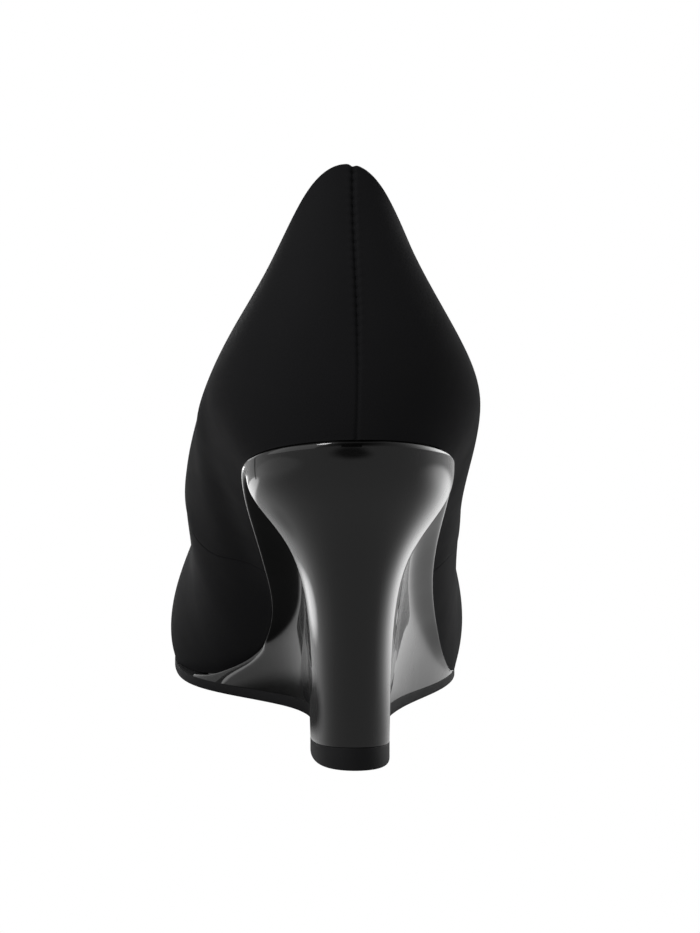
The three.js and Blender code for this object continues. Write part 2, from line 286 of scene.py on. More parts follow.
    @staticmethod
    def round_the_shoe(outer: Array, inner: Array | None = None) -> Curve:
        """Takes a table's column out along the outer side and back by the same or another inner column."""
        inner = outer if inner is None else inner
        return closed_spline(np.concatenate([outer, inner[-2:0:-1]]))

    def across(self, pairs: Array, heel_width: float) -> Curve:
        """Makes an edge's distance across from outer and inner shares, in the heel's rows of heel_width."""
        width = np.where(np.arange(len(pairs)) < self.heel_rows, heel_width, self.ball_width)
        return self.round_the_shoe(pairs[:, 0] * width, -pairs[:, 1] * width)

    def seat_along(self, share: Array) -> Array:
        """Distance along of the featherline: half a cosine wave of the seat's length."""
        return self.seat_length * (1 - np.cos(2 * np.pi * share)) / 2

    def sole_bottom(self, along: Array) -> Array:
        """Height of the outsole's underside: the arch, then the seat's own spring at the toe.

        Args:
            along: Distances along.

        Returns:
            The heights.
        """
        sprung = self.seat_height(along) - self.ball_level
        behind_spring = along < self.toe_spring_starts * self.seat_length
        return np.where(behind_spring, self.arch_height(along), sprung)

    def sole_top(self, along: Array) -> Array:
        """Height of the top of the outsole and top piece.

        The thickness on the underside falls evenly under the column and smoothly ahead of the waist.

        Args:
            along: Distances along.

        Returns:
            The heights.
        """
        past_heel = np.clip((along - self.column_set_forward) / self.top_piece_length, 0, 1)
        heel = self.top_piece_back + (self.waist_thickness - self.top_piece_back) * past_heel
        reach = self.wedge_reach
        past_waist = smooth_step(along, self.thinning_starts * reach, self.thinning_ends * reach)
        return self.sole_bottom(along) + heel + (self.outsole_thickness - heel) * past_waist

    def feather_point(self, share: Array) -> Array:
        """Point on the sole's edge of the upper."""
        along = self.seat_along(share)
        return np.stack([self.seat_across(share), along, self.seat_height(along)], axis=-1)

    def collar_point(self, share: Array) -> Array:
        """Point on the collar."""
        along, height = self.collar_along(share), self.collar_height(share)
        return np.stack([self.collar_across(share), along, height], axis=-1)

    def tread_point(self, share: Array) -> Array:
        """Point on the outline of the sole's underside, at height 0."""
        along = self.tread_along(share)
        return np.stack([self.tread_across(share), along, np.zeros_like(along)], axis=-1)

    @staticmethod
    def outward(edge: Curve, share: Array) -> Array:
        """Level direction away from the shoe, square to an edge seen from above.

        Args:
            edge: The edge's points over shares.
            share: Places round the shoe.

        Returns:
            Unit vectors, the chord between the neighbours turned a quarter.
        """
        ahead = edge(share + DIFFERENCE_STEP) - edge(share - DIFFERENCE_STEP)
        flat = np.stack([ahead[..., 1], -ahead[..., 0], np.zeros_like(ahead[..., 0])], axis=-1)
        return unit_vectors(flat)

    def wall_point(self, share: Array, height: Array) -> Array:
        """Point on the upper's outer surface.

        At each share a cubic Bezier rib rises from the featherline to the collar. Its handles set out
        level and up from the sole's edge, and level and down from the collar.

        Args:
            share: Places round the shoe.
            height: Places up the rib, of a shape that goes with share.

        Returns:
            The points, with x, y and z on the last axis.
        """
        share, height = np.broadcast_arrays(share, height)
        foot, head = self.feather_point(share), self.collar_point(share)
        lower = foot + self.outward(self.feather_point, share) * self.foot_out(share)[..., None]
        lower = lower + UP * self.foot_up(share)[..., None]
        upper = head + self.outward(self.collar_point, share) * self.head_out(share)[..., None]
        upper = upper - UP * self.head_down(share)[..., None]
        h, rest = height[..., None], 1 - height[..., None]
        return rest**3 * foot + 3 * rest**2 * h * lower + 3 * rest * h**2 * upper + h**3 * head

    def wall_slopes(self, share: Array, height: Array) -> tuple[Array, Array]:
        """Rates of change of the outer surface, by central differences.

        Args:
            share: Places round the shoe.
            height: Places up the rib.

        Returns:
            The rates round the shoe and up the rib.
        """
        step = DIFFERENCE_STEP
        around = self.wall_point(share + step, height) - self.wall_point(share - step, height)
        rise = self.wall_point(share, height + step) - self.wall_point(share, height - step)
        return around / (2 * step), rise / (2 * step)

    def wall_normal(self, share: Array, height: Array) -> Array:
        """Direction out of the outer surface, turned level over the last few millimetres to the sole.

        Args:
            share: Places round the shoe.
            height: Places up the rib.

        Returns:
            Unit vectors: the cross product of the slopes, mixed into the featherline's level direction.
        """
        share, height = np.broadcast_arrays(share, height)
        free = unit_vectors(np.cross(*self.wall_slopes(share, height)))
        level = self.outward(self.feather_point, share)
        turned = smooth_step(height, 0.0, self.levelled_height)[..., None]
        return unit_vectors(level * (1 - turned) + free * turned)


def solid_faces(levels: int, count: int, endless: bool) -> tuple[Array, Array]:
    """Faces of a closed solid whose vertices are rings of points, one ring after the other.

    Neighbouring rings are joined by quads. The end rings are closed by strips from side to side, with a
    triangle at each tip, or the last ring joins the first.

    Args:
        levels: How many rings.
        count: How many points in each.
        endless: Whether the last ring joins the first.

    Returns:
        The quads and the triangles, as rows of vertex numbers.
    """
    low = np.arange(levels if endless else levels - 1)[:, None] * count
    high = (low + count) % (levels * count)
    here = np.arange(count)[None, :]
    ahead = (here + 1) % count
    quads = np.stack([low + here, low + ahead, high + ahead, high + here], axis=-1).reshape(-1, 4)
    if endless:
        return quads, np.empty((0, 3), int)
    i = np.arange(1, (count - 1) // 2)
    strip = np.stack([i, i + 1, count - i - 1, count - i], axis=-1)
    tips = [[0, 1, count - 1]]
    if count % 2 == 0:
        tips.append([count // 2 - 1, count // 2, count // 2 + 1])
    tips = np.array(tips)
    top = (levels - 1) * count
    quads = np.concatenate([quads, strip[:, ::-1], strip + top])
    return quads, np.concatenate([tips[:, ::-1], tips + top])


def enclosed_volume(points: Array, quads: Array, triangles: Array) -> float:
    """Signed volume: the sum of the triangles' triple products over 6, above 0 when they face out.

    Args:
        points: Vertices, a row each.
        quads: Vertex numbers of the quads.
        triangles: Vertex numbers of the triangles.

    Returns:
        The volume.
    """
    corners = np.concatenate([quads[:, :3], quads[:, [0, 2, 3]], triangles]).T
    a, b, c = points[corners]
    return float((a * np.cross(b, c)).sum() / 6)


def put_in_scene(name: str, data: bpy.types.ID | None) -> Object:
    """Makes an object of a mesh, light or camera and links it to the scene.

    Args:
        name: The object's name.
        data: What it shows.

    Returns:
        The object, at the origin.
    """
    made = bpy.data.objects.new(name, data)
    bpy.context.scene.collection.objects.link(made)
    return made


def mesh_object(name: str, points: Array, quads: Array, triangles: Array, crease: float) -> Object:
    """Puts points and faces into a new mesh object, shaded smooth but for its sharp edges.

    Args:
        name: The object's name.
        points: Vertices in the last's millimetres, a row each.
        quads: Vertex numbers of the quads.
        triangles: Vertex numbers of the triangles.
        crease: Angle in degrees above which an edge is sharp.

    Returns:
        The object, at the origin, with its place in its mesh.
    """
    if enclosed_volume(points, quads, triangles) < 0:
        quads, triangles = quads[:, ::-1], triangles[:, ::-1]
    mesh = bpy.data.meshes.new(name)
    mesh.from_pydata((points * MM).tolist(), [], quads.tolist() + triangles.tolist())
    mesh.shade_smooth()
    mesh.set_sharp_from_angle(angle=math.radians(crease))
    mesh.update()
    return put_in_scene(name, mesh)


def solid_of_rings(
    name: str, rings: Array, centre_along: float, endless: bool = False, crease: float = LEATHER_CREASE
) -> Object:
    """Makes a closed solid from rings of points.

    Args:
        name: The object's name.
        rings: Points in the last's frame, indexed by ring, place in the ring and axis.
        centre_along: Distance along that becomes y = 0.
        endless: Whether the last ring joins the first.
        crease: Angle in degrees above which an edge is sharp.

    Returns:
        The object.
    """
    points = rings.reshape(-1, 3) - np.array([0.0, centre_along, 0.0])
    return mesh_object(name, points, *solid_faces(*rings.shape[:2], endless), crease)


def part_ring(start: float, stop: float, steps: int) -> Array:
    """Shares for a ring that stops short on both sides, out along the outer side and back by the inner."""
    outer = np.linspace(start, stop, steps + 1)
    return np.concatenate([outer, 1 - outer[:0:-1]])


def share_at(along_of: Curve, along: float) -> float:
    """Finds by halving the share on the outer side at which an edge reaches a distance along.

    Args:
        along_of: The edge's distance along over shares.
        along: The distance to reach.

    Returns:
        The share.
    """
    low, high = RingStart.HEEL.value, RingStart.TOE.value
    for _ in range(HALVINGS):
        middle = (low + high) / 2
        if float(along_of(np.array(middle))) < along:
            low = middle
        else:
            high = middle
    return (low + high) / 2


def narrowed(ring: Array, fraction: float) -> Array:
    """Draws a ring in towards its own middle line, each point across to the mean of it and its opposite.

    Args:
        ring: Points of the ring.
        fraction: How much of the way they go.

    Returns:
        The narrower ring.
    """
    opposite = np.roll(ring[::-1, 0], 1)
    middle = (ring[:, 0] + opposite) / 2
    drawn = ring.copy()
    drawn[:, 0] = middle + (ring[:, 0] - middle) * (1 - fraction)
    return drawn


def to_linear(colour: str) -> tuple[float, float, float, float]:
    """Turns a colour to linear light by the sRGB curve.

    Args:
        colour: The sRGB colour as # and six hex digits.

    Returns:
        Red, green, blue and alpha.
    """
    channels = [int(colour[i : i + 2], 16) / 255 for i in (1, 3, 5)]
    linear = [c / 12.92 if c <= 0.04045 else ((c + 0.055) / 1.055) ** 2.4 for c in channels]
    return (*linear, 1.0)


def add_node(tree: Tree, kind: str, inputs: dict | None = None, **settings) -> bpy.types.Node:
    """Adds a node with its settings and its inputs.

    Args:
        tree: The node tree.
        kind: The node's type name.
        inputs: For each input by name or number, a constant or the socket that feeds it.
        **settings: The node's own properties.

    Returns:
        The node.
    """
    node = tree.nodes.new(kind)
    for key, value in settings.items():
        setattr(node, key, value)
    for key, value in (inputs or {}).items():
        if isinstance(value, Socket):
            tree.links.new(value, node.inputs[key])
        else:
            node.inputs[key].default_value = value
    return node


def mixed_number(tree: Tree, factor: Socket | float, a: Socket | float, b: Socket | float) -> Socket:
    """Adds a mix of two numbers or of what feeds them, factor being the share of b."""
    parts = {"Factor": factor, "A": a, "B": b}
    return add_node(tree, "ShaderNodeMix", parts, data_type="FLOAT").outputs["Result"]


def new_tree(name: str) -> tuple[bpy.types.Material, Tree, bpy.types.Node]:
    """Makes an empty material.

    Args:
        name: The material's name.

    Returns:
        The material, its node tree and its output node.
    """
    material = bpy.data.materials.new(name)
    material.use_nodes = True
    material.node_tree.nodes.clear()
    output = add_node(material.node_tree, "ShaderNodeOutputMaterial")
    return material, material.node_tree, output


def grains_per_metre(size: float) -> float:
    """Texture scale on Object coordinates that repeats every size millimetres."""
    return 1 / (size * MM)


@dataclass(frozen=True)
class Finish:
    """A finish whose grain is a noise bump of a real size, over a slightly mottled colour."""

    name: str
    colour: str
    mottle: str
    roughness: float
    specular: float
    grain_size: float
    grain_depth: float
    mottle_size: float = 22.0
    mottle_detail: float = 3.0
    grain_detail: float = 4.0
    roughness_spread: float = 0.06
    roughness_patch: float = 22.0 / 3

    def coordinates(self, tree: Tree) -> Socket:
        """The Object coordinates that the patterns read."""
        return add_node(tree, "ShaderNodeTexCoord").outputs["Object"]

    def noise(self, tree: Tree, size: float, detail: float) -> Socket:
        """A noise pattern whose spots are size millimetres wide."""
        settings = {"Vector": self.coordinates(tree), "Scale": grains_per_metre(size), "Detail": detail}
        return add_node(tree, "ShaderNodeTexNoise", settings).outputs["Fac"]

    def base_colour(self, tree: Tree) -> Socket:
        """The colour, which drifts to the mottle over patches.

        Args:
            tree: The material's node tree.

        Returns:
            The socket with the colour.
        """
        drift = self.noise(tree, self.mottle_size, self.mottle_detail)
        parts = {"Factor": drift, COLOUR_A: to_linear(self.colour), COLOUR_B: to_linear(self.mottle)}
        return add_node(tree, "ShaderNodeMix", parts, data_type="RGBA").outputs[COLOUR_OUT]

    def varied_roughness(self, tree: Tree) -> Socket:
        """The roughness, a little higher and lower over patches.

        Args:
            tree: The material's node tree.

        Returns:
            The socket with the roughness.
        """
        parts = {
            "Value": self.noise(tree, self.roughness_patch, self.grain_detail),
            "To Min": self.roughness - self.roughness_spread,
            "To Max": self.roughness + self.roughness_spread,
        }
        return add_node(tree, "ShaderNodeMapRange", parts).outputs["Result"]

    def relief(self, tree: Tree) -> Socket:
        """The grain's height, from 0 to 1."""
        return self.noise(tree, self.grain_size, self.grain_detail)

    def more_inputs(self, bump: Socket) -> dict:
        """What the surface shader takes beside the sockets that all finishes set."""
        return {}

    def material(self) -> bpy.types.Material:
        """Builds the material."""
        material, tree, output = new_tree(self.name)
        parts = {"Height": self.relief(tree), "Distance": self.grain_depth * MM, "Strength": 1.0}
        bump = add_node(tree, "ShaderNodeBump", parts).outputs["Normal"]
        inputs = {
            "Base Color": self.base_colour(tree),
            "Roughness": self.varied_roughness(tree),
            "Specular IOR Level": self.specular,
            "Normal": bump,
            **self.more_inputs(bump),
        }
        shader = add_node(tree, "ShaderNodeBsdfPrincipled", inputs)
        tree.links.new(shader.outputs["BSDF"], output.inputs["Surface"])
        return material


@dataclass(frozen=True)
class UpperLeather(Finish):
    """Smooth black calf with a waxed satin finish: fine pores drawn coarse enough to break the sheen."""

    pore_size: float = 0.55
    noise_share: float = 0.45
    noise_detail: float = 5.0

    def relief(self, tree: Tree) -> Socket:
        """Rounded cells between the pores, under a finer noise.

        Args:
            tree: The material's node tree.

        Returns:
            The socket with the height.
        """
        parts = {"Vector": self.coordinates(tree), "Scale": grains_per_metre(self.pore_size)}
        cells = add_node(tree, "ShaderNodeTexVoronoi", parts, feature="SMOOTH_F1").outputs["Distance"]
        finer = self.noise(tree, self.grain_size, self.noise_detail)
        return mixed_number(tree, self.noise_share, cells, finer)


@dataclass(frozen=True)
class Patent(Finish):
    """Patent: leather under a poured lacquer film, mirror smooth but for a slow orange-peel wave."""

    film_roughness: float = 0.015
    film_ior: float = 1.42

    def more_inputs(self, bump: Socket) -> dict:
        """The lacquer film as a full coat, which follows the same wave."""
        return {
            "Coat Weight": 1.0,
            "Coat Roughness": self.film_roughness,
            "Coat IOR": self.film_ior,
            "Coat Normal": bump,
        }


# drum-dyed calf, waxed and brushed to a low shine
CALF = UpperLeather("waxed_calf", "#19191a", "#1d1d1e", 0.7, 0.012, grain_size=0.9, grain_depth=0.035)
# split leather under a poured and cured black lacquer
PATENT = Patent("black_patent", "#020202", "#030303", 0.35, 0.1, grain_size=16.0, grain_depth=0.035)
# rubber pressed in a hot mould, its skin left matt
RUBBER = Finish("moulded_rubber", "#151516", "#19191a", 0.68, 0.08, grain_size=0.5, grain_depth=0.05)
# hard polymer shot into a polished mould
NYLON = Finish("moulded_top_piece", "#141415", "#171718", 0.6, 0.1, grain_size=0.4, grain_depth=0.03)
# thin lining leather, unfinished
LINING = Finish("lining_skiver", "#262423", "#2c2a29", 0.75, 0.3, grain_size=0.7, grain_depth=0.04)


class Slot(Enum):
    """The record's material slots."""

    UPPER = "upper_leather"
    SOCK = "sock_lining"
    WEDGE = "wedge_patent"
    SOLE = "sole_rubber"
    TOP_PIECE = "top_piece_plastic"


def dress(piece: Object, finish: Finish, node: str) -> Object:
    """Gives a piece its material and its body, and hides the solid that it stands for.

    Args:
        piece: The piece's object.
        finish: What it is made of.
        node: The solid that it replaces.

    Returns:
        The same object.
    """
    material = bpy.data.materials.get(finish.name) or finish.material()
    piece.data.materials.append(material)
    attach(piece, "root")
    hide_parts(node)
    LOG.info("%s: %d vertices in %s", piece.name, len(piece.data.vertices), finish.name)
    return piece


@dataclass(frozen=True)
class Wave:
    """A soft trough or ridge in the leather, placed one by one.

    It runs straight between two places on the wall, given as share and height, and fades at both ends.
    A rise below 0 is a trough.
    """

    start: tuple[float, float]
    stop: tuple[float, float]
    width: float
    rise: float


@dataclass
class Upper:
    """The leather upper: two quarters joined at the back seam, the vamp, and the lining inside them."""

    last: Last
    leather: float = 1.2  # thickness of the leather, and of its folded topline
    tuck: float = 0.28  # the lower edge reaches this far into the glue line
    back_reach: float = 0.2  # share from the back within which the back seam and its notch can lie
    seam_foot: float = -1.0  # how far across from share 0 the back seam stands at the sole's edge
    seam_head: float = 1.4  # and at the collar
    seam_depth: float = 0.55
    seam_width: float = 0.45
    stitch_pitch: float = 2.2
    stitch_pull: float = 0.32
    stitch_reach: float = 0.75
    pull_starts: float = 0.12  # heights between which the stitches come to pull in full
    pull_full: float = 0.5
    unpulled_depth: float = 0.7  # share of the groove's depth where no stitch pulls
    pad_rise: float = 0.12
    pad_away: float = 1.1
    pad_width: float = 0.6
    notch_depth: float = 0.4
    notch_width: float = 0.85
    notch_starts: float = 0.95
    lap_proud: float = 0.22
    lap_reach: float = 6.0
    lap_groove: float = 0.42
    lap_groove_width: float = 0.4
    wave_fade: float = 1.5  # how far a wave runs out past its ends, of its width
    quarter_rows: int = 200
    quarter_columns: int = 130
    quarter_evenness: float = 0.22
    vamp_rows: int = 96
    vamp_columns: int = 330
    vamp_evenness: float = 0.4
    fold_points: int = 9
    lining_rows: int = 60
    lining_columns: int = 360
    lining_fold_points: int = 5
    lining_drop: float = 1.8
    lining_gap: float = 0.05
    # height and share of the side seam, on both sides of the shoe
    side_seam: tuple = (
        (0.0, 0.203), (0.17, 0.214), (0.37, 0.2326), (0.46, 0.239), (0.52, 0.2415), (0.585, 0.2435),
        (1.0, 0.25),
    )
    waves: tuple[Wave, ...] = (
        Wave((0.83, 0.62), (0.765, 0.2), 7.0, 0.55),
        Wave((0.855, 0.5), (0.795, 0.12), 6.0, -0.5),
    )

    def __post_init__(self) -> None:
        """Turns the side seam's table into a curve over heights."""
        seam = np.array(self.side_seam)
        self.seam_share = level_curve(seam[:, 0], seam[:, 1])

    def fold_height(self, share: Array, drop: float) -> Array:
        """Height up the rib that lies drop millimetres below the collar."""
        _, rise = self.last.wall_slopes(share, np.ones_like(share))
        return 1 - drop / np.linalg.norm(rise, axis=-1)

    def back_seam(self, height: Array) -> Array:
        """Share of the back seam: 0, moved across by millimetres that go evenly with height."""
        around, _ = self.last.wall_slopes(np.zeros_like(height), height)
        return (self.seam_foot + (self.seam_head - self.seam_foot) * height) / around[..., 0]

    def off_back_seam(self, height: Array, points: Array) -> Array:
        """Distance across from the back seam to points at a height."""
        return points[..., 0] - self.last.wall_point(self.back_seam(height), height)[..., 0]

    def back_seam_relief(self, share: Array, height: Array, points: Array) -> Array:
        """Relief of the closed back seam.

        A bell-shaped groove follows the seam. Each stitch draws it deeper, as a cosine of the distance
        down the seam, and the leather stands padded between them. Both fade towards the sole.

        Args:
            share: Places round the shoe.
            height: Places up the rib.
            points: The wall's own points there.

        Returns:
            Millimetres out of the wall.
        """
        away = self.off_back_seam(height, points)
        down = (1 - height) * self.last.back_height
        pulled = smooth_step(height, self.pull_starts, self.pull_full)
        stitch = (1 + np.cos(2 * np.pi * down / self.stitch_pitch)) / 2
        deepened = self.unpulled_depth + (1 - self.unpulled_depth) * pulled
        groove = self.seam_depth * deepened * bell(away, self.seam_width)
        pull = self.stitch_pull * pulled * stitch**2 * bell(away, self.stitch_reach)
        pad = self.pad_rise * pulled * (1 - stitch) * bell(np.abs(away) - self.pad_away, self.pad_width)
        return (pad - groove - pull) * (np.minimum(share, 1 - share) < self.back_reach)

    def side_seam_relief(self, share: Array, height: Array) -> Array:
        """Step at the side seams.

        Both panels dip into a groove, and the quarter stands a little proud of the vamp and thins away
        from the seam.

        Args:
            share: Places round the shoe.
            height: Places up the rib.

        Returns:
            Millimetres out of the wall.
        """
        from_heel = np.minimum(share, 1 - share)
        around, _ = self.last.wall_slopes(share, height)
        ahead = (from_heel - self.seam_share(height)) * np.linalg.norm(around, axis=-1)
        proud = self.lap_proud * bell(ahead, self.lap_reach) * (ahead < 0)
        return proud - self.lap_groove * bell(ahead, self.lap_groove_width)

    def wave_relief(self, points: Array) -> Array:
        """Sum of the soft troughs and ridges, each a bell across its line and level along it.

        Args:
            points: The wall's own points.

        Returns:
            Millimetres out of the wall.
        """
        total = np.zeros(points.shape[:-1])
        for wave in self.waves:
            start, stop = self.last.wall_point(*np.array([wave.start, wave.stop]).T)
            line = stop - start
            length = np.linalg.norm(line)
            along = (points - start) @ line / length
            beside = points - start - along[..., None] * line / length
            beyond = np.maximum(np.maximum(-along, along - length), 0)
            aside = np.linalg.norm(beside, axis=-1)
            total += wave.rise * bell(aside, wave.width) * bell(beyond, wave.width * self.wave_fade)
        return total

    def leather_point(self, share: Array, height: Array, depth: float) -> Array:
        """Point in the leather at a depth below its grain side, which carries the seams and waves.

        Args:
            share: Places round the shoe.
            height: Places up the rib.
            depth: Millimetres below the grain side.

        Returns:
            The points: the wall's own point moved along its normal, and drawn down at the back notch.
        """
        share, height = np.broadcast_arrays(share, height)
        points = self.last.wall_point(share, height)
        relief = self.wave_relief(points)
        if depth < self.leather:
            relief = relief + self.back_seam_relief(share, height, points)
            relief = relief + self.side_seam_relief(share, height)
        away = self.off_back_seam(height, points)
        at_back = np.minimum(share, 1 - share) < self.back_reach
        at_top = smooth_step(height, self.notch_starts, 1.0)
        notch = self.notch_depth * bell(away, self.notch_width) * at_top * at_back
        moved = points + self.last.wall_normal(share, height) * (relief - depth)[..., None]
        return moved - UP * notch[..., None]

    def over_the_edge(
        self, outer: Array, inner: Array, share: Array, height: Array, thickness: float, points: int
    ) -> Array:
        """Half circles that join two faces of a sheet over its top edge.

        Args:
            outer: Points of the outer face, indexed by column, row and axis.
            inner: Points of the inner face.
            share: Shares of the columns at the edge.
            height: Height of the edge in each column.
            thickness: The sheet's thickness, twice the half circles' radius.
            points: How many points on each half circle.

        Returns:
            Points indexed by column, place on the half circle and axis.
        """
        middle, out = (outer[:, -1:] + inner[:, -1:]) / 2, (outer[:, -1:] - inner[:, -1:]) / 2
        _, rise = self.last.wall_slopes(share, height)
        lift = unit_vectors(rise)[:, None] * thickness / 2
        angle = np.linspace(0, np.pi, points + 2)[1:-1][None, :, None]
        return middle + np.cos(angle) * out + np.sin(angle) * lift

    def panel_rings(self, share: Array, rows: int) -> Array:
        """Rings of a leather panel, one for each column of shares, each a closed loop round the wall.

        A loop climbs the grain side, turns over the folded topline on half a circle and goes back down
        the flesh side. Its first point is the middle of the lower edge.

        Args:
            share: Shares of the columns, indexed by column and row up the wall.
            rows: How many rows up each side.

        Returns:
            Points indexed by column, place in the loop and axis.
        """
        top = self.fold_height(share[:, -1], self.leather / 2)
        height = np.linspace(0, 1, rows)[None, :] * top[:, None]
        grain = self.leather_point(share, height, 0.0)
        flesh = self.leather_point(share, height, self.leather)
        fold = self.over_the_edge(grain, flesh, share[:, -1], top, self.leather, self.fold_points)
        for side in (grain, flesh):
            side[:, 0, 2] = self.last.seat_height(side[:, 0, 1]) - self.tuck
        foot = (grain[:, :1] + flesh[:, :1]) / 2
        return np.concatenate([foot, grain, fold, flesh[:, ::-1]], axis=1)

    def quarter(self, name: str, inner: bool) -> Object:
        """Builds one quarter, from the back seam to the side seam.

        Args:
            name: The piece's name.
            inner: Whether it is the one on the inner side.

        Returns:
            The object.
        """
        height = np.linspace(0, 1, self.quarter_rows)[None, :]
        back, side = self.back_seam(height), self.seam_share(height)
        start, stop = (1 + back, 1 - side) if inner else (back, side)
        share = start + spread(self.quarter_columns, self.quarter_evenness)[:, None] * (stop - start)
        rings = self.panel_rings(share, self.quarter_rows)
        return solid_of_rings(name, rings, self.last.centre_along)

    def vamp(self) -> Object:
        """Builds the vamp, from side seam to side seam round the toe."""
        height = np.linspace(0, 1, self.vamp_rows)[None, :]
        seam = self.seam_share(height)
        share = seam + spread(self.vamp_columns, self.vamp_evenness)[:, None] * (1 - 2 * seam)
        rings = self.panel_rings(share, self.vamp_rows)
        return solid_of_rings("vamp", rings, self.last.centre_along)

    def lining(self) -> Object:
        """Builds the lining, a thin shell inside the leather that stops short of the topline."""
        share = np.linspace(0, 1, self.lining_columns + 1)[:-1]
        top = self.fold_height(share, self.lining_drop)
        height = np.linspace(0, 1, self.lining_rows)[None, :] * top[:, None]
        behind, face = self.leather + self.lining_gap, self.last.wall
        outer = self.leather_point(share[:, None], height, behind)
        inner = self.leather_point(share[:, None], height, face)
        edge = self.over_the_edge(outer, inner, share, top, face - behind, self.lining_fold_points)
        for side in (outer, inner):
            side[:, 0, 2] = self.last.seat_height(side[:, 0, 1])
        rings = np.concatenate([outer, edge, inner[:, ::-1]], axis=1)
        return solid_of_rings("upper_lining", rings, self.last.centre_along, endless=True)

    def build(self) -> None:
        """Builds and dresses all pieces of the upper."""
        dress(self.quarter("quarter_outer", inner=False), CALF, "upper")
        dress(self.quarter("quarter_inner", inner=True), CALF, "upper")
        dress(self.vamp(), CALF, "upper")
        dress(self.lining(), LINING, "upper")


@dataclass
class Wedge:
    """The hourglass wedge, one moulded core under a wrapped patent cover."""

    last: Last
    rim_proud: float = 0.6  # how far the rim stands out of the featherline at the back
    side_proud: float = 0.1  # and ahead of the column
    back_lip: float = 1.5  # radius of the lip under the upper at the back
    side_lip: float = 0.15  # and ahead of the column
    foot_radius: float = 0.35
    side_shares: tuple[float, float] = (0.05, 0.13)  # shares between which rim and lip change
    most_lip: float = 0.4  # the lip's radius and the foot's, at most, of the wall's depth
    most_foot: float = 0.3
    foot_drop: float = 0.35  # how far down the foot's edge turns, of its radius
    lip_points: int = 9
    foot_points: int = 5
    crowding: float = 1.25  # power that crowds the wall's rings towards the rim
    back_blend: float = 0.4  # sine of the share's turn over which the column's two depths blend
    wall_rows: int = 110
    columns: int = 190
    outer_depth: float = 0.272
    inner_depth: float = 0.252
    cove_sharpness: float = 2.95
    side_starts: float = 0.105  # share at which the column's cove gives way to the side wall
    side_ends: float = 0.15
    inner_side_ends: float = 0.13
    side_depth: float = 0.05
    side_sharpness: float = 2.0
    side_straight: float = 0.45  # share of a straight wall in the side wall
    inner_side_straight: float = 0.12
    valley_share: float = 0.135
    valley_width: float = 0.014
    valley_depth: float = 0.7

    @staticmethod
    def cove(down: float, depth: float | Array, sharpness: float) -> float | Array:
        """How far out a cove is at a share down, from 1 at the rim to 0 at the foot.

        The curve is 1 / (1 + (down / depth)^sharpness), less its value at the foot and stretched back to 1.
        """
        at_foot = 1 / (1 + depth**-sharpness)
        return (1 / (1 + (down / depth) ** sharpness) - at_foot) / (1 - at_foot)

    def wall_ring(self, rim: Array, foot: Array, share: Array, down: float) -> Array:
        """A ring of the wall between rim and foot.

        The column flares to the rim in a deep cove, a little deeper on its outer side. The side walls
        ahead of it turn tightly under the rim, the inner one more, and are nearly straight below. On the
        outer side a shallow valley, a bell across and a half sine down, sets them off from the column.

        Args:
            rim: Points of the rim.
            foot: Points of the foot below them.
            share: Their shares.
            down: How far down the ring is.

        Returns:
            The ring's points, with their heights still to be set.
        """
        from_heel = np.minimum(share, 1 - share)
        on_outer = share < RingStart.TOE.value
        ends = np.where(on_outer, self.side_ends, self.inner_side_ends)
        side = smooth_step(from_heel, self.side_starts, ends)
        outer = smooth_step(np.sin(2 * np.pi * share), -self.back_blend, self.back_blend)
        column_depth = self.inner_depth + (self.outer_depth - self.inner_depth) * outer
        column = self.cove(down, column_depth, self.cove_sharpness)
        tight = self.cove(down, self.side_depth, self.side_sharpness)
        straight = np.where(on_outer, self.side_straight, self.inner_side_straight)
        flare = column * (1 - side) + (straight * (1 - down) + (1 - straight) * tight) * side
        ring = foot + (rim - foot) * flare[:, None]
        valley = self.valley_depth * bell(share - self.valley_share, self.valley_width)
        ring[:, 0] -= valley * np.sin(np.pi * down)
        return ring

    def cover(self) -> Object:
        """Builds the covered wedge: a rounded lip under the upper, the coved wall and a tight foot."""
        last = self.last
        rim_share, foot_share = (
            part_ring(RingStart.HEEL.value, share_at(along_of, last.wedge_reach), self.columns)
            for along_of in (last.seat_along, last.tread_along)
        )
        out = last.outward(last.feather_point, rim_share)
        ahead = smooth_step(np.minimum(rim_share, 1 - rim_share), *self.side_shares)
        proud = self.rim_proud + (self.side_proud - self.rim_proud) * ahead
        rim = last.feather_point(rim_share) + out * proud[:, None]
        rim[:, 2] = last.seat_height(rim[:, 1]) - last.glue_gap
        foot = last.tread_point(foot_share)
        foot[:, 2] = last.sole_top(foot[:, 1]) + last.glue_gap / 2
        depth = rim[:, 2] - foot[:, 2]
        lip = np.minimum(self.back_lip + (self.side_lip - self.back_lip) * ahead, depth * self.most_lip)
        turn = np.linspace(0, np.pi / 2, self.lip_points)
        rings = []
        for angle in turn[::-1]:
            ring = rim - out * (lip * (1 - np.cos(angle)))[:, None]
            ring[:, 2] = rim[:, 2] - lip * (1 - np.sin(angle))
            rings.append(ring)
        lip_share = lip / depth
        foot_out = last.outward(last.tread_point, foot_share)
        for step in np.linspace(0, 1, self.wall_rows + 1)[1:]:
            down = step**self.crowding
            ring = self.wall_ring(rim, foot, rim_share, down)
            ring[:, 2] = rim[:, 2] - depth * (lip_share + (1 - lip_share) * down)
            rings.append(ring)
        tuck = np.minimum(self.foot_radius, depth * self.most_foot)
        last_ring = rings[-1]
        for angle in np.linspace(0, np.pi / 2, self.foot_points + 1)[1:]:
            ring = last_ring - foot_out * (tuck * (1 - np.cos(angle)))[:, None]
            ring[:, 2] = last_ring[:, 2] - tuck * self.foot_drop * np.sin(angle)
            rings.append(ring)
        return solid_of_rings("wedge_cover", np.array(rings), last.centre_along, crease=MOULDED_CREASE)

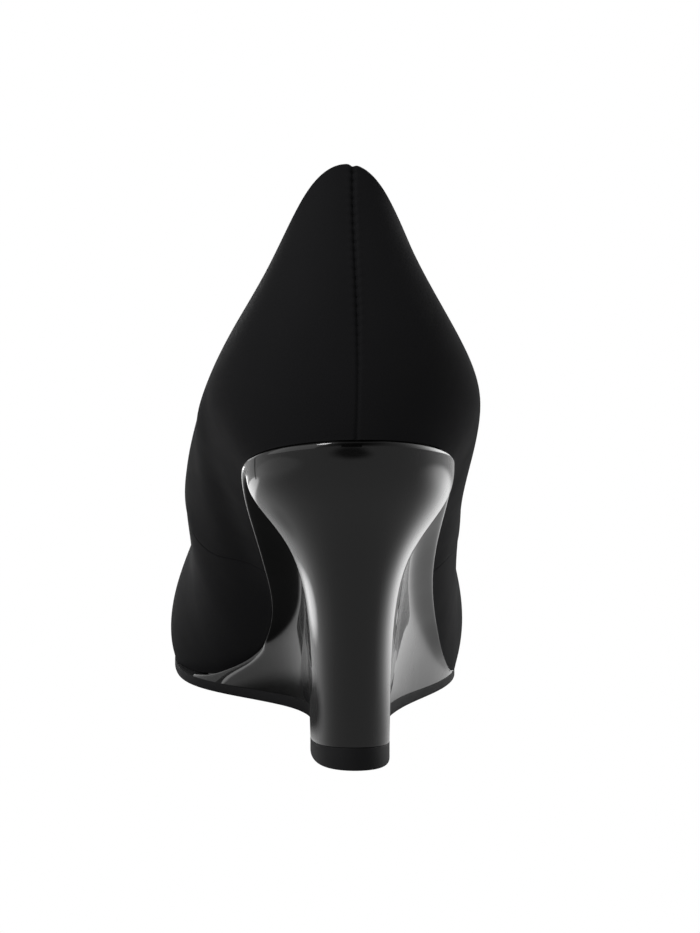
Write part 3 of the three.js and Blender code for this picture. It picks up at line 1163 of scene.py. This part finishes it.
    def build(self) -> None:
        """Builds and dresses the wedge."""
        dress(self.cover(), PATENT, "wedge")


@dataclass
class Bottom:
    """What the shoe stands on and what the foot stands on: outsole, top piece and sock."""

    last: Last
    sock_thickness: float = 2.2
    # radii of the lower and the upper edge
    outsole_edges: tuple[float, float] = (0.7, 0.15)
    top_piece_edges: tuple[float, float] = (0.5, 0.25)
    sock_edges: tuple[float, float] = (0.2, 0.6)
    edge_points: tuple[int, int] = (7, 6)
    end_narrowing: float = 0.5  # how far a slab's faces are drawn in before strips close them
    outsole_steps: int = 240
    top_piece_steps: int = 90
    sock_steps: int = 220

    def outsole_top(self, along: Array) -> Array:
        """Height of the outsole's top, a little into the glue line."""
        return self.last.sole_top(along) + self.last.glue_gap / 3

    def sock_top(self, along: Array) -> Array:
        """Height of the sock's top."""
        return self.last.seat_height(along) + self.sock_thickness

    def slab(
        self, name: str, outline: Array, out: Array, heights: tuple[Curve, Curve], radii: tuple[float, float]
    ) -> Object:
        """Builds a slab with rounded edges between two surfaces that depend on the distance along.

        Each edge is a quarter circle: the outline drawn in by radius (1 - cos) and raised by
        radius (1 - sin).

        Args:
            name: The object's name.
            outline: Points of the widest ring.
            out: Level directions out of it.
            heights: Curves of the lower and the upper surface over the distance along.
            radii: Radius of the lower and of the upper edge.

        Returns:
            The object.
        """
        quarter, (low_points, high_points) = np.pi / 2, self.edge_points
        turns = (np.linspace(quarter, 0, low_points), np.linspace(0, quarter, high_points))
        rings = []
        for surface, radius, turn, side in zip(heights, radii, turns, (1, -1)):
            for angle in turn:
                ring = outline - out * (radius * (1 - np.cos(angle)))
                ring[:, 2] = surface(ring[:, 1]) + side * radius * (1 - np.sin(angle))
                rings.append(ring)
        under, over = (narrowed(rings[end], self.end_narrowing) for end in (0, -1))
        for face, surface in zip((under, over), heights):
            face[:, 2] = surface(face[:, 1])
        rings = np.array([under, *rings, over])
        return solid_of_rings(name, rings, self.last.centre_along, crease=MOULDED_CREASE)

    def outsole(self) -> Object:
        """Builds the outsole, from the toe to the front of the top piece."""
        last = self.last
        stop = share_at(last.tread_along, last.column_set_forward + last.top_piece_length + last.glue_gap)
        shares = part_ring(RingStart.TOE.value, stop, self.outsole_steps)
        outline, out = last.tread_point(shares), last.outward(last.tread_point, shares)
        heights = (last.sole_bottom, self.outsole_top)
        return self.slab("outsole_rubber", outline, out, heights, self.outsole_edges)

    def top_piece(self) -> Object:
        """Builds the top piece under the heel."""
        last = self.last
        stop = share_at(last.tread_along, last.column_set_forward + last.top_piece_length)
        shares = part_ring(RingStart.HEEL.value, stop, self.top_piece_steps)
        outline, out = last.tread_point(shares), last.outward(last.tread_point, shares)
        heights = (np.zeros_like, last.sole_top)
        return self.slab("heel_top_piece", outline, out, heights, self.top_piece_edges)

    def sock(self) -> Object:
        """Builds the sock, the padded board that the foot rests on."""
        last = self.last
        shares = part_ring(RingStart.HEEL.value, RingStart.TOE.value, self.sock_steps)[:-1]
        out = last.outward(last.feather_point, shares)
        outline = last.feather_point(shares) - out * (last.wall + last.glue_gap)
        return self.slab("sock", outline, out, (last.seat_height, self.sock_top), self.sock_edges)

    def build(self) -> None:
        """Builds and dresses the three."""
        dress(self.outsole(), RUBBER, "outsole")
        dress(self.top_piece(), NYLON, "top_piece")
        dress(self.sock(), LINING, "insole")


def heading_vector(heading: float, elevation: float) -> Vector:
    """Unit vector towards a heading, counted from the camera's side towards +X, and an elevation."""
    turn, lift = math.radians(heading), math.radians(elevation)
    return Vector((math.sin(turn) * math.cos(lift), -math.cos(turn) * math.cos(lift), math.sin(lift)))


@dataclass(frozen=True)
class SoftBox:
    """A soft area light that faces the shoe, placed by heading and elevation, of an even radiance."""

    name: str
    heading: float
    elevation: float
    distance: float
    width: float
    height: float
    radiance: float

    def build(self, aim: Vector) -> None:
        """Adds the light, turned towards a point, with the power that gives its radiance.

        Args:
            aim: The point.
        """
        away = heading_vector(self.heading, self.elevation)
        data = bpy.data.lights.new(self.name, "AREA")
        data.shape = "RECTANGLE"
        data.size, data.size_y = self.width, self.height
        data.energy = self.radiance * math.pi * self.width * self.height
        light = put_in_scene(self.name, data)
        light.location = aim + away * self.distance
        light.rotation_mode = "QUATERNION"
        light.rotation_quaternion = (-away).to_track_quat("-Z", "Y")


@dataclass(frozen=True)
class Glow:
    """A soft glow of the room, brightest in one direction and fading round it."""

    heading: float
    elevation: float
    strength: float
    spread: float

    def build(self, tree: Tree, direction: Socket) -> Socket:
        """Adds the nodes for strength * exp((c - 1) / spread^2), c the cosine to its axis.

        Args:
            tree: The world's node tree.
            direction: The direction looked in.

        Returns:
            The socket with the glow's brightness.
        """
        axis = tuple(heading_vector(self.heading, self.elevation))
        cosine = add_node(tree, "ShaderNodeVectorMath", {0: direction, 1: axis}, operation="DOT_PRODUCT")
        value = cosine.outputs["Value"]
        sharpness = 1 / math.radians(self.spread) ** 2
        steps = [("SUBTRACT", {1: 1.0}), ("MULTIPLY", {1: sharpness}), ("EXPONENT", {})]
        for operation, numbers in [*steps, ("MULTIPLY", {1: self.strength})]:
            value = add_node(tree, "ShaderNodeMath", {0: value, **numbers}, operation=operation).outputs[0]
        return value


@dataclass(frozen=True)
class PaintedPool:
    """A round patch of the floor painted brighter or darker, with a soft edge: a painted pool of light or
    shadow.
    """

    across: float
    along: float
    inner_radius: float
    outer_radius: float
    level: float

    def build(self, tree: Tree, place: Socket, around: Socket) -> Socket:
        """Adds the nodes that mix the pool's level into the floor's by the distance to its centre.

        Args:
            tree: The floor paint's node tree.
            place: The place on the floor.
            around: The floor's level without this pool.

        Returns:
            The socket with the level.
        """
        centre = (self.across * MM, self.along * MM, 0.0)
        away = add_node(tree, "ShaderNodeVectorMath", {0: place, 1: centre}, operation="DISTANCE")
        ramp = {
            "Value": away.outputs["Value"],
            "From Min": self.outer_radius * MM,
            "From Max": self.inner_radius * MM,
        }
        within = add_node(tree, "ShaderNodeMapRange", ramp, interpolation_type="SMOOTHSTEP")
        return mixed_number(tree, within.outputs["Result"], around, self.level)


@dataclass(frozen=True)
class Flag:
    """A black card on the floor, which the camera does not see and the patent mirrors as a dark line."""

    name: str
    heading: float
    distance: float
    width: float
    height: float

    def build(self) -> None:
        """Adds the card."""
        foot = heading_vector(self.heading, 0.0) * self.distance
        half = heading_vector(self.heading + 90, 0.0) * self.width / 2
        top = Vector((0, 0, self.height))
        corners = [foot - half, foot + half, foot + half + top, foot - half + top]
        mesh = bpy.data.meshes.new(self.name)
        mesh.from_pydata([tuple(corner) for corner in corners], [], [[0, 1, 2, 3]])
        material, tree, output = new_tree(self.name)
        felt = add_node(tree, "ShaderNodeBsdfDiffuse", {"Color": to_linear(FELT_BLACK)})
        tree.links.new(felt.outputs[0], output.inputs["Surface"])
        mesh.materials.append(material)
        flag = put_in_scene(self.name, mesh)
        flag.visible_camera = False


@dataclass
class Studio:
    """The plain white studio and its camera, which looks at the back of the shoe from a little above."""

    heading: float = 4.7  # degrees that the camera looks to the right of straight along the shoe
    pitch: float = 5.41
    distance: float = 900.0
    height: float = 158.0
    aim_across: float = -1.7
    aim_along: float = -16.0
    focal_length: float = 3834.0  # in pixels
    picture_height: float = 933.0
    sensor: float = 36.0
    near_clip: float = 0.01
    far_clip: float = 100.0
    floor_radius: float = 30.0
    floor_corners: int = 96
    room_light: float = 0.45
    backdrop: float = 1.0
    floor_glow: float = 1.0
    floor_level: float = 0.5
    # patches of painted light and painted shade on the floor, which only mirror images show
    painted_pools: tuple[PaintedPool, ...] = (
        # painted shadow
        PaintedPool(-22, 80, 25, 60, 0.03),  # under the arch
        # painted pool of light
        PaintedPool(260, 190, 60, 280, 1.9),  # beside the toe, on the outer side
        # painted light
        PaintedPool(-450, 60, 200, 330, 0.75),  # far out on the inner side
        # painted pool of light
        PaintedPool(-55, 430, 110, 175, 2.8),  # ahead of the toe
        # painted shade
        PaintedPool(-60, -700, 120, 340, 0.05),  # behind the heel, towards the camera
        # painted pool of light
        PaintedPool(-140, 205, 55, 85, 2.2),  # beside the toe, on the inner side
    )
    flags: tuple[Flag, ...] = (
        Flag("flag_side", -134, 0.26, 0.011, 0.5),
        Flag("flag_camera", -4.7, 1.1, 0.42, 1.4),
    )
    boxes: tuple[SoftBox, ...] = (
        SoftBox("key_left", -78, 22, 1.6, 2.4, 1.5, 0.9),
        SoftBox("strobe_left", -48, 48, 1.8, 0.35, 0.45, 22.0),
    )
    glows: tuple[Glow, ...] = (Glow(120, 3, 4.5, 22), Glow(-172, 3, 2.5, 12), Glow(-5, 38, -0.5, 26))

    def camera(self) -> None:
        """Adds the camera and makes it the scene's."""
        data = bpy.data.cameras.new("camera")
        data.sensor_width = self.sensor
        data.lens = self.sensor * self.focal_length / self.picture_height
        data.clip_start, data.clip_end = self.near_clip, self.far_clip
        camera = put_in_scene("camera", data)
        turn = math.radians(self.heading)
        across = self.aim_across - self.distance * math.sin(turn)
        along = self.aim_along - self.distance * math.cos(turn)
        camera.location = Vector((across, along, self.height)) * MM
        camera.rotation_euler = (math.radians(90 - self.pitch), 0, -turn)
        bpy.context.scene.camera = camera

    def floor(self) -> None:
        """Adds the floor, a wide disc that glows white to the camera.

        The shoe is lit by it at an even level. Only its mirror images show the painted patches: painted
        light beside the toe, ahead of it and far out on the inner side, and painted shade under the arch and
        behind the heel.
        """
        turn = np.linspace(0, 2 * np.pi, self.floor_corners + 1)[:-1]
        rim = np.stack([np.cos(turn), np.sin(turn), np.zeros_like(turn)], axis=-1) * self.floor_radius
        mesh = bpy.data.meshes.new("floor")
        mesh.from_pydata(rim.tolist(), [], [list(range(len(turn)))])
        material, tree, output = new_tree("floor_paint")
        place = add_node(tree, "ShaderNodeTexCoord").outputs["Object"]
        level = add_node(tree, "ShaderNodeValue").outputs[0]
        level.default_value = self.floor_level
        for pool in self.painted_pools:
            level = pool.build(tree, place, level)
        paths = add_node(tree, "ShaderNodeLightPath").outputs
        # mirror rays see the painted light and painted shade of the patches, other rays the even level
        level = mixed_number(tree, paths["Is Glossy Ray"], self.floor_level, level)
        shaded = add_node(tree, "ShaderNodeEmission", {"Strength": level})
        white = add_node(tree, "ShaderNodeEmission", {"Strength": self.floor_glow})
        mixing = {0: paths["Is Camera Ray"], 1: shaded.outputs[0], 2: white.outputs[0]}
        mixed = add_node(tree, "ShaderNodeMixShader", mixing)
        tree.links.new(mixed.outputs[0], output.inputs["Surface"])
        mesh.materials.append(material)
        put_in_scene("floor", mesh)

    def room(self) -> None:
        """Lights the room: white to the camera, even to the shoe, with glows that only mirrors show."""
        world = bpy.data.worlds.new("room")
        world.use_nodes = True
        tree = world.node_tree
        direction = add_node(tree, "ShaderNodeTexCoord").outputs["Generated"]
        total = add_node(tree, "ShaderNodeValue").outputs[0]
        total.default_value = self.room_light
        paths = add_node(tree, "ShaderNodeLightPath").outputs
        for glow in self.glows:
            parts = {0: glow.build(tree, direction), 1: paths["Is Glossy Ray"], 2: total}
            total = add_node(tree, "ShaderNodeMath", parts, operation="MULTIPLY_ADD").outputs[0]
        total = add_node(tree, "ShaderNodeMath", {0: total, 1: 0.0}, operation="MAXIMUM").outputs[0]
        strength = mixed_number(tree, paths["Is Camera Ray"], total, self.backdrop)
        tree.links.new(strength, tree.nodes["Background"].inputs["Strength"])
        tree.nodes["Background"].inputs["Color"].default_value = to_linear(PURE_WHITE)
        bpy.context.scene.world = world
        bpy.context.scene.view_settings.view_transform = "Standard"

    def build(self) -> None:
        """Builds camera, floor, room and lights."""
        self.camera()
        self.floor()
        for flag in self.flags:
            flag.build()
        self.room()
        low, high = CAD_BOX
        for box in self.boxes:
            box.build((low + high) / 2)


def main() -> None:
    """Builds the studio and the shoe, piece by piece."""
    logging.basicConfig(level=logging.INFO, format="%(name)s %(message)s")
    last = Last()
    Studio().build()
    Upper(last).build()
    Wedge(last).build()
    Bottom(last).build()


if __name__ == "__main__":
    main()
